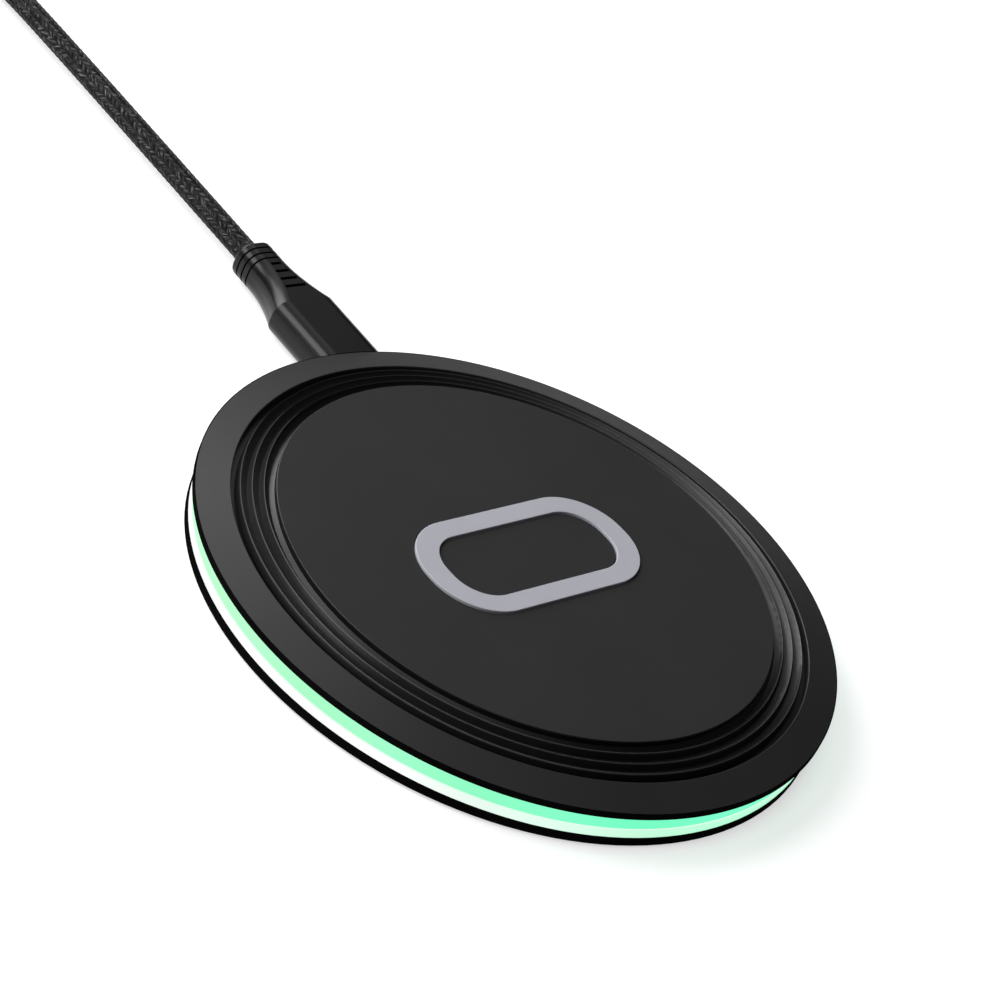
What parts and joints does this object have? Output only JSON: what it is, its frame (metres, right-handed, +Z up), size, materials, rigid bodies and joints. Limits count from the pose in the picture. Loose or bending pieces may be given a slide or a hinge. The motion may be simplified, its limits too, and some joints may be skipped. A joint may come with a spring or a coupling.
{
  "type": "wireless charging pad",
  "caption": "Thin round wireless charging pad with ridged top, lit side band and a braided USB lead that unplugs; coiled and tied lead ends in a USB-A plug.",
  "frame": {"origin": "on the table under the middle of the round pad, lead left out", "axes": "+Z up out of the charging face, +Y the way the lead leaves the port, +X to the right seen from the front"},
  "size_m": [0.102, 0.293, 0.01],
  "materials": {
    "case_black": "fine satin moulding",
    "foot_silicone": "matte silicone",
    "screw_steel": "zinc-plated steel",
    "frosted_light": "frosted, lit green above and white below",
    "bezel_satin": "satin charcoal",
    "plate_matte": "soft-touch matte",
    "grip_silicone": "pale grey silicone",
    "copper_wire": "enamelled stranded copper wire",
    "tape": "double-sided tape",
    "ferrite": "sintered ferrite",
    "tray_plastic": "moulded",
    "epoxy": "epoxy bead",
    "circuit_board": "green solder mask",
    "chip_epoxy": "moulded chip package",
    "capacitor_ceramic": "ceramic capacitor",
    "led_body": "white lamp package",
    "wire_sheath": "insulated wire",
    "port_steel": "nickel-plated steel",
    "contact_block": "contact carrier",
    "plug_steel": "nickel-plated steel",
    "plug_rubber": "satin moulded cover",
    "braid": "braided nylon sheath",
    "tie_strap": "hook-and-loop strap",
    "contact_gold": "gold-plated contact"
  },
  "bodies": {
    "pad": {"base_cover": "case_black", "foot_ring": "foot_silicone", "case_screws": "screw_steel", "light_ring": "frosted_light", "top_bezel": "bezel_satin", "top_plate": "plate_matte", "grip_ring": "grip_silicone", "charging_coil": "copper_wire", "coil_tape": "tape", "ferrite_shield": "ferrite", "coil_tray": "tray_plastic", "thermistor": "epoxy", "tray_screws": "screw_steel", "main_board": "circuit_board", "board_screws": "screw_steel", "controller_chip": "chip_epoxy", "power_drivers": "chip_epoxy", "resonant_capacitors": "capacitor_ceramic", "input_inductor": "ferrite", "input_capacitors": "capacitor_ceramic", "led_ring_board": "circuit_board", "side_leds": "led_body", "led_jumper": "wire_sheath", "port_shell": "port_steel", "port_tongue": "contact_block"},
    "lead": {"usb_c_plug_shell": "plug_steel", "usb_c_plug_insert": "contact_block", "plug_housing": "plug_rubber", "plug_strain_relief": "plug_rubber", "cable": "braid", "cable_coil": "braid", "cable_tail": "braid", "cable_tie": "tie_strap", "usb_a_strain_relief": "plug_rubber", "usb_a_housing": "plug_rubber", "usb_a_shell": "plug_steel", "usb_a_insert": "contact_block", "usb_a_contacts": "contact_gold"}
  },
  "joints": [
    {"name": "plug_pull", "type": "slide", "parent": "pad", "child": "lead", "axis": [0, 1, 0], "range_m": [0, 0.01]}
  ]
}
